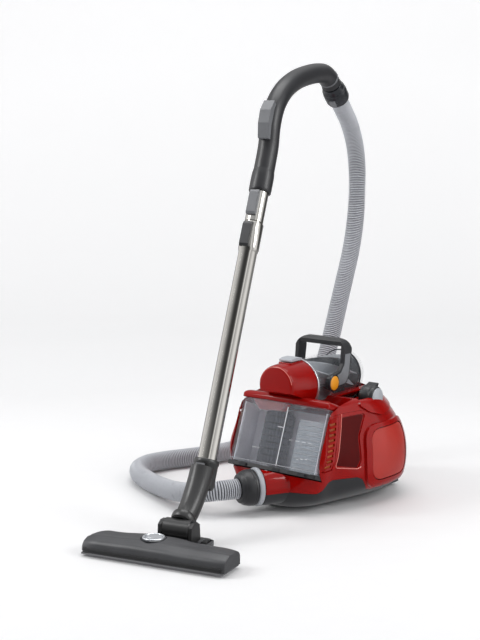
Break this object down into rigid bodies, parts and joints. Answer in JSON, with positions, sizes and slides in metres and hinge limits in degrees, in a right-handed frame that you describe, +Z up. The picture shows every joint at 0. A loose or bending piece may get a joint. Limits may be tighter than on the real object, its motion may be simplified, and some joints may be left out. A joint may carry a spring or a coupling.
{
  "type": "canister vacuum cleaner",
  "caption": "Bagless canister vacuum cleaner: red wheeled body with clear dust bin and cyclone barrel, corrugated hose, bent grip, telescopic steel tube and floor head.",
  "frame": {"origin": "on the floor, below the centre of the box round the whole machine without its hose", "axes": "+X to the canister's right-hand side as seen from the front, -Y towards the canister's nose and the floor head, +Z up"},
  "size_m": [0.5547, 0.9719, 0.8444],
  "materials": {
    "red_shell": "gloss",
    "dark_plastic": "satin",
    "grey_plastic": "satin",
    "pale_plastic": "satin",
    "clear_plastic": "clear gloss",
    "steel_tube": "polished",
    "steel_plate": "brushed",
    "yellow_plastic": "satin",
    "black_rubber": "matte",
    "hose_plastic": "satin",
    "filter_foam": "matte",
    "motor_metal": "satin",
    "board": "matte"
  },
  "bodies": {
    "canister": {"chassis_base": "dark_plastic", "body_shell": "red_shell", "deck": "red_shell", "louvre_R": "red_shell", "louvre_L": "red_shell", "side_cover_R": "red_shell", "side_cover_L": "red_shell", "cord_outlet": "dark_plastic", "motor_unit": "motor_metal", "motor_mount": "black_rubber", "control_board": "board", "exhaust_filter": "filter_foam", "motor_filter": "filter_foam", "inlet_socket": "pale_plastic", "hose": "hose_plastic", "neck_yoke": "dark_plastic"},
    "exhaust_door": {"filter_door": "dark_plastic"},
    "reel": {"cord_reel": "grey_plastic"},
    "wheel_right": {"wheel_R": "black_rubber"},
    "wheel_left": {"wheel_L": "black_rubber"},
    "caster_swivel": {"caster_fork": "dark_plastic"},
    "caster_roller": {"caster_wheel": "black_rubber"},
    "inlet_cuff": {"hose_cuff": "dark_plastic"},
    "power_pedal": {"pedal_power": "grey_plastic"},
    "rewind_pedal": {"pedal_rewind": "grey_plastic"},
    "dust_unit": {"bin": "clear_plastic", "bin_plate": "dark_plastic", "filter_core": "dark_plastic", "lid": "red_shell", "barrel_cap": "red_shell", "barrel_ring": "pale_plastic", "barrel": "clear_plastic", "swirl_fins": "dark_plastic", "pivot_disc_R": "yellow_plastic", "pivot_disc_L": "yellow_plastic"},
    "cap_release": {"cap_button": "grey_plastic"},
    "bail": {"carry_handle": "dark_plastic"},
    "wand_lower": {"neck": "dark_plastic", "tube_lower": "steel_tube"},
    "neck_release": {"neck_latch": "grey_plastic"},
    "length_lock": {"tube_slider": "grey_plastic"},
    "wand_upper": {"tube_upper": "steel_tube", "handle_grip": "dark_plastic"},
    "handle_lock": {"handle_slider": "grey_plastic"},
    "air_bleed": {"air_slider": "grey_plastic"},
    "hose_swivel": {"handle_cuff": "dark_plastic"},
    "cuff_release": {"release_button": "grey_plastic"},
    "floor_head": {"head_top": "dark_plastic", "sole_plate": "steel_plate", "pedal_ring": "steel_tube", "head_bumper": "black_rubber"},
    "rocker": {"head_rocker": "grey_plastic"},
    "brush": {"brush_strip": "black_rubber"},
    "head_roller_right": {"head_wheel_R": "black_rubber"},
    "head_roller_left": {"head_wheel_L": "black_rubber"}
  },
  "joints": [
    {"name": "exhaust_door_hinge", "type": "hinge", "parent": "canister", "child": "exhaust_door", "pos_m": [-0.0115, 0.351, 0.0745], "axis": [-1, 0, 0], "range_deg": [0, 80]},
    {"name": "reel_spin", "type": "hinge", "parent": "canister", "child": "reel", "pos_m": [0.0425, 0.193, 0.1], "axis": [0, 1, 0], "continuous": true},
    {"name": "wheel_right_spin", "type": "hinge", "parent": "canister", "child": "wheel_right", "pos_m": [0.0725, 0.268, 0.033], "axis": [1, 0, 0], "continuous": true},
    {"name": "wheel_left_spin", "type": "hinge", "parent": "canister", "child": "wheel_left", "pos_m": [-0.0955, 0.268, 0.033], "axis": [1, 0, 0], "continuous": true},
    {"name": "caster_turn", "type": "hinge", "parent": "canister", "child": "caster_swivel", "pos_m": [-0.0115, 0.044, 0.02], "axis": [0, 0, 1], "continuous": true},
    {"name": "caster_spin", "type": "hinge", "parent": "caster_swivel", "child": "caster_roller", "pos_m": [-0.0115, 0.053, 0.013], "axis": [1, 0, 0], "continuous": true},
    {"name": "inlet_cuff_turn", "type": "hinge", "parent": "canister", "child": "inlet_cuff", "pos_m": [-0.0315, -0.04664, 0.0495], "axis": [-0.5, -0.866, 0], "continuous": true},
    {"name": "power_pedal_press", "type": "hinge", "parent": "canister", "child": "power_pedal", "pos_m": [0.0935, 0.188, 0.201], "axis": [1, 0, 0], "range_deg": [-10, 10], "stiffness_Nm_per_rad": 0.6},
    {"name": "rewind_pedal_press", "type": "hinge", "parent": "canister", "child": "rewind_pedal", "pos_m": [-0.1165, 0.188, 0.201], "axis": [1, 0, 0], "range_deg": [-10, 10], "stiffness_Nm_per_rad": 0.6},
    {"name": "dust_unit_lift", "type": "slide", "parent": "canister", "child": "dust_unit", "axis": [0, 0, 1], "range_m": [0, 0.2]},
    {"name": "cap_button_press", "type": "slide", "parent": "dust_unit", "child": "cap_release", "axis": [0, 0, -1], "range_m": [0, 0.0015], "stiffness_N_per_m": 400},
    {"name": "bail_fold", "type": "hinge", "parent": "dust_unit", "child": "bail", "pos_m": [-0.0115, 0.127, 0.232], "axis": [1, 0, 0], "range_deg": [-12, 70]},
    {"name": "wand_tilt", "type": "hinge", "parent": "canister", "child": "wand_lower", "pos_m": [0.00939, -0.29217, 0.038], "axis": [0.9792, 0.203, 0], "range_deg": [-15, 25], "deforming": ["hose"]},
    {"name": "neck_latch_slide", "type": "slide", "parent": "wand_lower", "child": "neck_release", "axis": [-0.0872, 0.4206, 0.903], "range_m": [-0.004, 0], "stiffness_N_per_m": 400},
    {"name": "length_lock_slide", "type": "slide", "parent": "wand_lower", "child": "length_lock", "axis": [-0.0872, 0.4206, 0.903], "range_m": [-0.006, 0], "stiffness_N_per_m": 400},
    {"name": "wand_telescope", "type": "slide", "parent": "wand_lower", "child": "wand_upper", "axis": [-0.0872, 0.4206, 0.903], "range_m": [0, 0.25], "deforming": ["hose"]},
    {"name": "handle_lock_slide", "type": "slide", "parent": "wand_upper", "child": "handle_lock", "axis": [-0.0872, 0.4206, 0.903], "range_m": [-0.006, 0], "stiffness_N_per_m": 400},
    {"name": "air_bleed_slide", "type": "hinge", "parent": "wand_upper", "child": "air_bleed", "pos_m": [-0.09501, 0.21146, 0.66617], "axis": [0.9792, 0.203, 0], "range_deg": [-3, 3]},
    {"name": "handle_cuff_turn", "type": "hinge", "parent": "wand_upper", "child": "hose_swivel", "pos_m": [-0.13241, 0.39189, 0.7881], "axis": [-0.1624, 0.7833, -0.6], "continuous": true},
    {"name": "cuff_button_press", "type": "slide", "parent": "hose_swivel", "child": "cuff_release", "axis": [0.1218, -0.5875, -0.8], "range_m": [0, 0.0015], "stiffness_N_per_m": 400},
    {"name": "head_swivel", "type": "hinge", "parent": "canister", "child": "floor_head", "pos_m": [0.00939, -0.29217, 0.01], "axis": [0, 0, 1], "range_deg": [-30, 30]},
    {"name": "rocker_tilt", "type": "hinge", "parent": "floor_head", "child": "rocker", "pos_m": [0.00867, -0.35767, 0.036], "axis": [0.9792, 0.203, 0], "range_deg": [-7, 7]},
    {"name": "brush_lift", "type": "slide", "parent": "floor_head", "child": "brush", "axis": [0, 0, 1], "range_m": [-0.003, 0.003]},
    {"name": "head_roller_right_spin", "type": "hinge", "parent": "floor_head", "child": "head_roller_right", "pos_m": [0.04902, -0.26659, 0.0097], "axis": [0.9792, 0.203, 0], "continuous": true},
    {"name": "head_roller_left_spin", "type": "hinge", "parent": "floor_head", "child": "head_roller_left", "pos_m": [-0.03714, -0.28445, 0.0097], "axis": [0.9792, 0.203, 0], "continuous": true}
  ]
}
